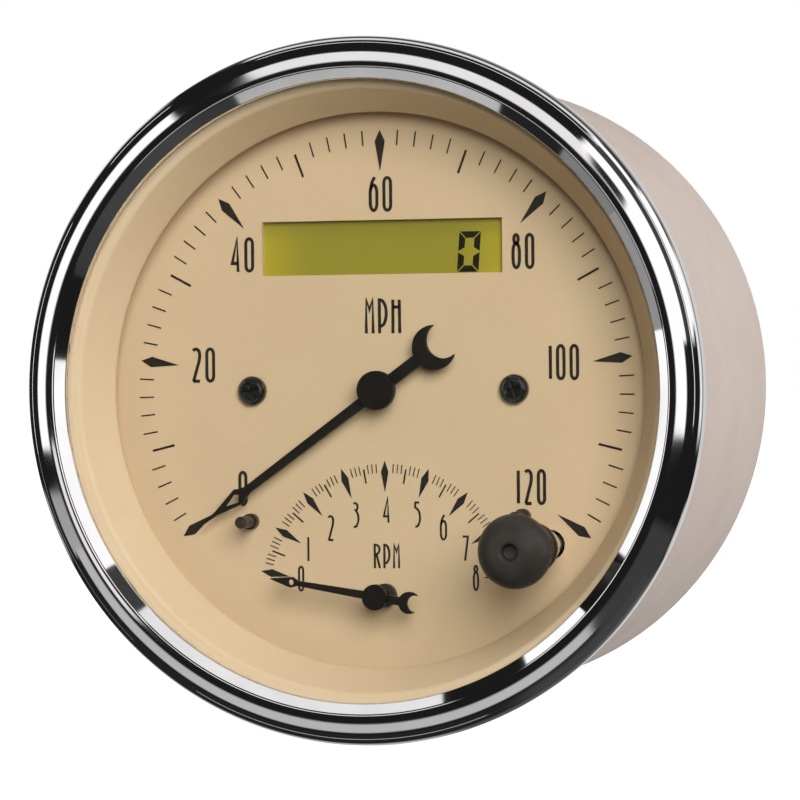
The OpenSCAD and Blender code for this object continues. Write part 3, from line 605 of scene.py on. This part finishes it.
# Each number's text, the middle of its ink to the right and up, and its width, in mm
speed_h, speed_stroke, speed_gaps = 4.70, 0.42, 0.42
for text, x, up, w in (("0", -19.66, -12.95, 1.28), ("20", -25.08, 3.50, 3.33),
                       ("40", -19.37, 18.08, 3.31), ("60", 0.02, 25.76, 3.24),
                       ("80", 19.41, 17.93, 3.10), ("100", 24.78, 3.45, 4.08),
                       ("120", 20.23, -12.75, 3.96)):
    lettering("speed_" + text, text, x, up, w, speed_h, speed_stroke, speed_gaps)
rev_h, rev_stroke, rev_gaps = 3.42, 0.27, 0.4
for text, x, up, w in (("0", -11.60, -24.90, 0.86), ("1", -10.54, -20.98, 0.24),
                       ("2", -7.36, -18.18, 0.92), ("3", -3.86, -16.46, 0.98),
                       ("4", 0.38, -15.79, 1.01), ("5", 4.65, -16.37, 0.98),
                       ("6", 8.20, -18.06, 0.98), ("7", 11.18, -20.80, 0.99),
                       ("8", 12.57, -24.64, 0.85)):
    lettering("rev_" + text, text, x, up, w, rev_h, rev_stroke, rev_gaps)
unit_gaps = 0.36
lettering("unit_speed", "MPH", 0.18, 9.66, 5.04, 4.80, 0.41, unit_gaps)
lettering("unit_revs", "RPM", 0.38, -21.90, 3.63, 3.36, 0.28, unit_gaps)

# Dial screws, stop pins and the tachometer's collar. The pan-head screws are black and
# glossy, with a cross recess; the pins are brown steel pressed into the dial.
black_screw = finish("black_screw", (0.010, 0.010, 0.010), (0.016, 0.016, 0.016), mottle=1,
                     rough=(0.10, 0.18), grain=0.3, grain_depth=0.004, Coat_Weight=0.6)
stop_metal = finish("stop_metal", (0.040, 0.031, 0.023), (0.075, 0.060, 0.044), mottle=0.8,
                    rough=(0.35, 0.5), metallic=0.5, grain=0.15, grain_depth=0.004)
dress(black_screw, "dial_screws")
dress(stop_metal, "stop_pins")
dress(black_plastic, "shaft_collar")

# Pointers. Thin aluminium blades sprayed satin black, with a pierced lozenge near the tip
# and a crescent tail, under a black cap that is pressed on the shaft.
pointer_black = finish("pointer_black", (0.008, 0.007, 0.005), (0.012, 0.010, 0.008), mottle=2,
                       rough=(0.42, 0.52), grain=0.12, grain_depth=0.003,
                       Specular_IOR_Level=0.3)
cap_black = finish("cap_black", (0.006, 0.005, 0.004), (0.009, 0.008, 0.007), mottle=1.5,
                   rough=(0.46, 0.56), grain=0.12, grain_depth=0.003, Specular_IOR_Level=0.3)
for movement in ("speed", "tach"):
    dress(pointer_black, movement + "_pointer")
    dress(cap_black, movement + "_pointer_cap")

# Flare ring. A cream plastic moulding that stands on the dial's rim on a foot and widens
# towards the lens. Its inner edge hangs over the dial and throws a soft shadow on it.


def arc(cr, cf, rr, rf, start, end, steps):
    """Points (radius, front) along part of an ellipse in a turned piece's section, in mm."""
    angles = [math.radians(start + (end - start) * i / steps) for i in range(steps + 1)]
    return [(cr + rr * math.cos(a), cf + rf * math.sin(a)) for a in angles]


def turned(name, outline, steps=240, centre=(0.0, 0.0), sharp=35):
    """A mesh turned from a closed outline of (radius, front) in mm round a centre."""
    build = bmesh.new()
    rings = []
    for i in range(steps):
        a = 2 * math.pi * i / steps
        rings.append([build.verts.new(at(centre[0] + r * math.cos(a),
                                         centre[1] + r * math.sin(a), front))
                      for r, front in outline])
    for i in range(steps):
        this, other = rings[i], rings[(i + 1) % steps]
        for j in range(len(outline)):
            k = (j + 1) % len(outline)
            if outline[j][0] or outline[k][0]:
                build.faces.new((this[j], other[j], other[k], this[k]))
    bmesh.ops.remove_doubles(build, verts=build.verts, dist=1e-7)
    bmesh.ops.recalc_face_normals(build, faces=build.faces)
    mesh = bpy.data.meshes.new(name)
    build.to_mesh(mesh)
    build.free()
    mesh.shade_smooth()
    mesh.set_sharp_from_angle(angle=math.radians(sharp))
    return mesh


flare_paint = finish("flare_paint", (0.680, 0.520, 0.345), (0.700, 0.540, 0.362), mottle=12,
                     rough=(0.46, 0.54), grain=0.3, grain_depth=0.003)
flare_r, flare_z = 36.4, 3.4
edge_t = 0.5
foot_r, foot_outer_r = 38.8, 40.0
mouth_r, rim_r, rim_z = 40.4, 41.4, 9.0
shoulder = arc(39.9, 7.7, 0.95, 1.1, 158, 96, 8)
flare_section = ([(foot_r, 0.0), (foot_r, flare_z - edge_t), (flare_r + 0.2, flare_z - edge_t)]
                 + arc(flare_r + edge_t / 2, flare_z - edge_t / 2, edge_t / 2, edge_t / 2,
                       -90, -180, 5)
                 + [(flare_r + 0.12, flare_z + 0.15)] + shoulder
                 + [(mouth_r - 0.1, rim_z - 0.05), (mouth_r, rim_z), (rim_r, rim_z),
                    (rim_r, rim_z - 1.0), (foot_outer_r, 0.0)])
piece("flare_ring", turned("flare_ring", flare_section), flare_paint, "housing",
      "cream_plastic", "flare_ring")

# Gasket and lens. A black rubber ring on the case's flange carries a flat glass disc,
# which has a hole for the reset knob's bushing and is clamped by the bezel.
rubber = finish("gasket_rubber", (0.018, 0.018, 0.018), (0.026, 0.026, 0.026), mottle=2,
                rough=(0.6, 0.7), grain=0.15, grain_depth=0.006)
lens_glass = bpy.data.materials.new("lens_glass")
lens_glass.use_nodes = True
g = Nodes(lens_glass.node_tree)
clear = g.add("ShaderNodeBsdfTransparent")
clear.inputs["Color"].default_value = (0.985, 0.99, 0.98, 1)
sheen = g.add("ShaderNodeBsdfGlossy")
sheen.inputs["Roughness"].default_value = 0.02
bounce = g.add("ShaderNodeFresnel")
bounce.inputs["IOR"].default_value = 1.5
smears = g.add("ShaderNodeTexNoise")
g.join(g.add("ShaderNodeTexCoord").outputs["Object"], smears.inputs["Vector"])
smears.inputs["Scale"].default_value = 60
g.join(g.mix(smears.outputs["Fac"], (0.9, 0.9, 0.9), (1.0, 1.0, 1.0)), sheen.inputs["Color"])
outer_face = g.math("SUBTRACT", 1.0, g.add("ShaderNodeNewGeometry").outputs["Backfacing"])
pane = g.add("ShaderNodeMixShader")
g.join(g.math("MULTIPLY", bounce.outputs[0], outer_face), pane.inputs[0])
g.join(clear.outputs[0], pane.inputs[1])
g.join(sheen.outputs[0], pane.inputs[2])
g.join(pane.outputs[0], g.add("ShaderNodeOutputMaterial").inputs["Surface"])
dress(rubber, "lens_gasket")
dress(lens_glass, "lens")

# Reset knob. A soft black cap with a neck, moulded on a cream plastic stem. The stem
# slides in a black bushing in the lens and reaches the trip switch behind the dial.
knob_x, knob_up = 22.7, -20.25
knob_r = 4.75
knob_rear, knob_front = 15.8, 19.4
knob_edge = 0.5
crown_h = 2.6
knob_rubber = finish("knob_rubber", (0.022, 0.018, 0.015), (0.031, 0.026, 0.022), mottle=2.5,
                     rough=(0.40, 0.52), grain=0.12, grain_depth=0.006)
stem_plastic = finish("stem_plastic", (0.62, 0.48, 0.34), (0.68, 0.54, 0.39), mottle=1.5,
                      rough=(0.4, 0.5), grain=0.12, grain_depth=0.003)
pit_r, pit_depth = 1.0, 1.3
lip_w, lip_h = 0.45, 0.4
pit_round = 0.35
neck_rear, neck_r = 12.9, 2.95
knob_section = ([(0, neck_rear), (neck_r - 0.1, neck_rear), (neck_r, neck_rear + 0.1),
                 (neck_r, knob_rear + 0.2), (neck_r + 0.45, knob_rear)]
                + arc(knob_r - knob_edge, knob_rear + knob_edge, knob_edge, knob_edge, -90, 0, 6)
                + arc(pit_r + lip_w, knob_front - crown_h, knob_r - pit_r - lip_w, crown_h,
                      0, 90, 18)
                + arc(pit_r + lip_w, knob_front - lip_h, lip_w, lip_h, 90, 180, 8)
                + arc(pit_r - pit_round, knob_front - pit_depth + pit_round, pit_round, pit_round,
                      0, -90, 5)
                + [(0, knob_front - pit_depth)])
piece("trip_knob", turned("trip_knob", knob_section, 96, (knob_x, knob_up)), knob_rubber,
      "trip_button", "knob_rubber", "trip_knob")
dress(stem_plastic, "trip_stem")
dress(black_plastic, "lens_bushing")

# Bezel. Spun from thin brass sheet and chromed: a narrow bevel rises from the lens to a
# crest, a roll falls away to a straight skirt, and the rear edge is crimped behind the flange.
chrome = finish("chrome", (0.83, 0.83, 0.84), (0.86, 0.86, 0.865), mottle=12,
                rough=(0.035, 0.06), metallic=1.0, grain=6.0, grain_depth=0.0006)
bezel_r = -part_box("bezel")[0].x / mm
lens_front = 10.4
inner_r = 40.3
crest_r = 41.9
crest = 1.8
bevel_w = 1.40
bevel_rows = (0.05, 0.10, 1.30, 1.38)
bevel_slope = math.tan(math.radians(34))
skirt_r = bezel_r - 0.2
crimp_r = 43.3
bezel_rear = 7.4
sheet_t = 0.5
fold = 0.6


def bevel_front(across):
    """Height of the bevel's face at a distance from its inner edge, in mm."""
    return lens_front + crest - 0.05 - bevel_slope * (bevel_w - across)


bezel_section = (
    [(inner_r, lens_front), (inner_r, bevel_front(0) - 0.06)]
    + [(inner_r + across, bevel_front(across)) for across in bevel_rows]
    + [(crest_r - 0.12, lens_front + crest - 0.015), (crest_r, lens_front + crest)]
    + arc(crest_r, lens_front, bezel_r - crest_r, crest, 88, 0, 60)
    + [(skirt_r, bezel_rear + fold)] + arc(skirt_r - fold, bezel_rear + fold, fold, fold, 0, -90, 8)
    + [(crimp_r, bezel_rear), (crimp_r, bezel_rear + sheet_t),
       (skirt_r - sheet_t, bezel_rear + sheet_t)]
    + arc(crest_r, lens_front, bezel_r - crest_r - sheet_t, crest - sheet_t, 0, 90, 16)
    + [(inner_r + 0.8, lens_front)])
piece("bezel", turned("bezel", bezel_section, 360), chrome, "housing", "bezel_chrome", "bezel")
